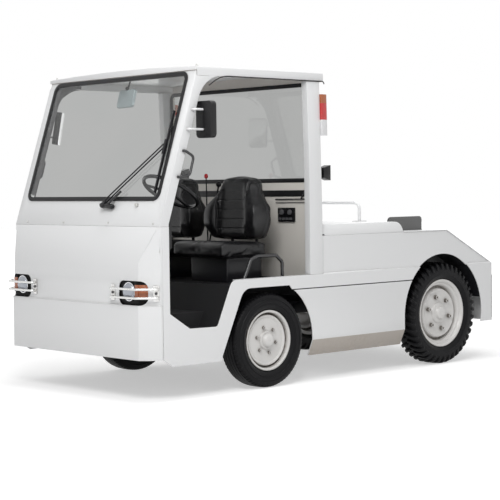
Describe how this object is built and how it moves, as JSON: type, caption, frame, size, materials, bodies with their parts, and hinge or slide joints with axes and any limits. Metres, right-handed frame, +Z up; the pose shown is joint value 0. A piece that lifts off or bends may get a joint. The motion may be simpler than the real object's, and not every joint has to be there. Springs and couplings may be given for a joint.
{
  "type": "airport baggage tug",
  "caption": "Low airport towing tractor with an open-sided two-seat cab, hinged engine hood, steering front wheels and a pin coupling.",
  "frame": {"origin": "on the ground, in the middle of the footprint", "axes": "+Y to the tug's rear, +X to its left, +Z up"},
  "size_m": [1.6636, 3.294, 1.963],
  "materials": {
    "body_paint": "satin white enamel",
    "cab_paint": "satin light grey enamel",
    "dark_paint": "satin black enamel",
    "hoop_paint": "satin white enamel",
    "wheel_paint": "satin off-white enamel",
    "guard_metal": "satin white enamel",
    "axle_iron": "black painted forging",
    "iron": "dark painted casting",
    "steel": "zinc plated",
    "glass": "tinted safety glass",
    "rubber": "matte",
    "tyre": "matte black rubber",
    "seat_cover": "black vinyl",
    "dash_plastic": "grained black",
    "black_plastic": "grained black",
    "wheel_grip": "smooth black",
    "lamp_plastic": "dark pocket with clear and amber lenses",
    "lens_plastic": "red, amber and clear lenses"
  },
  "bodies": {
    "chassis": {"chassis_frame": "dark_paint", "front_bumper": "body_paint", "front_panel": "body_paint", "cab_front_frame": "body_paint", "cab_glass": "glass", "glass_seals": "rubber", "roof_panel": "body_paint", "rear_wall": "cab_paint", "cab_floor": "dark_paint", "side_panel_left": "body_paint", "side_panel_right": "body_paint", "side_skirts": "body_paint", "rear_deck": "body_paint", "wheel_liners": "dark_paint", "tail_buffers": "rubber", "tow_coupling": "dark_paint", "deck_stops": "dark_paint", "seat_boxes": "dark_paint", "seat_cushions": "seat_cover", "seat_backs": "seat_cover", "dash_panel": "dash_plastic", "steering_column": "dark_paint", "driver_controls": "black_plastic", "hand_rails": "dark_paint", "mirrors": "black_plastic", "wiper": "dark_paint", "headlamps": "lamp_plastic", "lamp_guards": "guard_metal", "tail_lamps": "lens_plastic", "engine_block": "iron", "front_axle": "axle_iron", "rear_axle": "axle_iron"},
    "hood": {"engine_hood": "body_paint", "hood_hoop": "hoop_paint"},
    "knuckle_left": {"knuckle_left": "axle_iron"},
    "knuckle_right": {"knuckle_right": "axle_iron"},
    "tie_rod": {"tie_rod": "axle_iron"},
    "steering_wheel": {"steering_wheel": "wheel_grip"},
    "tow_pin": {"tow_pin": "steel"},
    "wheel_front_left": {"rim_front_left": "wheel_paint", "tyre_front_left": "tyre"},
    "wheel_front_right": {"rim_front_right": "wheel_paint", "tyre_front_right": "tyre"},
    "wheel_rear_left": {"rim_rear_left": "wheel_paint", "tyre_rear_left": "tyre"},
    "wheel_rear_right": {"rim_rear_right": "wheel_paint", "tyre_rear_right": "tyre"}
  },
  "joints": [
    {"name": "steer_left", "type": "hinge", "parent": "chassis", "child": "knuckle_left", "pos_m": [0.545, -0.651, 0.292], "axis": [0, 0, 1], "range_deg": [-32, 32]},
    {"name": "steer_right", "type": "hinge", "parent": "chassis", "child": "knuckle_right", "pos_m": [-0.545, -0.651, 0.292], "axis": [0, 0, 1], "range_deg": [-32, 32]},
    {"name": "tie_rod_swivel", "type": "hinge", "parent": "knuckle_left", "child": "tie_rod", "pos_m": [0.545, -0.521, 0.205], "axis": [0, 0, 1], "range_deg": [-32, 32]},
    {"name": "steering_wheel_turn", "type": "hinge", "parent": "chassis", "child": "steering_wheel", "pos_m": [0.31, -1.089, 1.213], "axis": [0, 0.5373, 0.8434], "range_deg": [-480, 480]},
    {"name": "wheel_front_left_spin", "type": "hinge", "parent": "knuckle_left", "child": "wheel_front_left", "pos_m": [0.645, -0.651, 0.292], "axis": [1, 0, 0], "continuous": true},
    {"name": "wheel_front_right_spin", "type": "hinge", "parent": "knuckle_right", "child": "wheel_front_right", "pos_m": [-0.645, -0.651, 0.292], "axis": [1, 0, 0], "continuous": true},
    {"name": "wheel_rear_left_spin", "type": "hinge", "parent": "chassis", "child": "wheel_rear_left", "pos_m": [0.64, 0.999, 0.35], "axis": [1, 0, 0], "continuous": true},
    {"name": "wheel_rear_right_spin", "type": "hinge", "parent": "chassis", "child": "wheel_rear_right", "pos_m": [-0.64, 0.999, 0.35], "axis": [1, 0, 0], "continuous": true},
    {"name": "hood_hinge", "type": "hinge", "parent": "chassis", "child": "hood", "pos_m": [0, -0.155, 0.976], "axis": [1, 0, 0], "range_deg": [0, 65]},
    {"name": "tow_pin_lift", "type": "slide", "parent": "chassis", "child": "tow_pin", "axis": [0, 0, 1], "range_m": [0, 0.14]}
  ],
  "couplings": [
    {"joint": "steer_right", "follows": "steer_left", "ratio": 1},
    {"joint": "tie_rod_swivel", "follows": "steer_left", "ratio": -1},
    {"joint": "steering_wheel_turn", "follows": "steer_left", "ratio": 15}
  ]
}
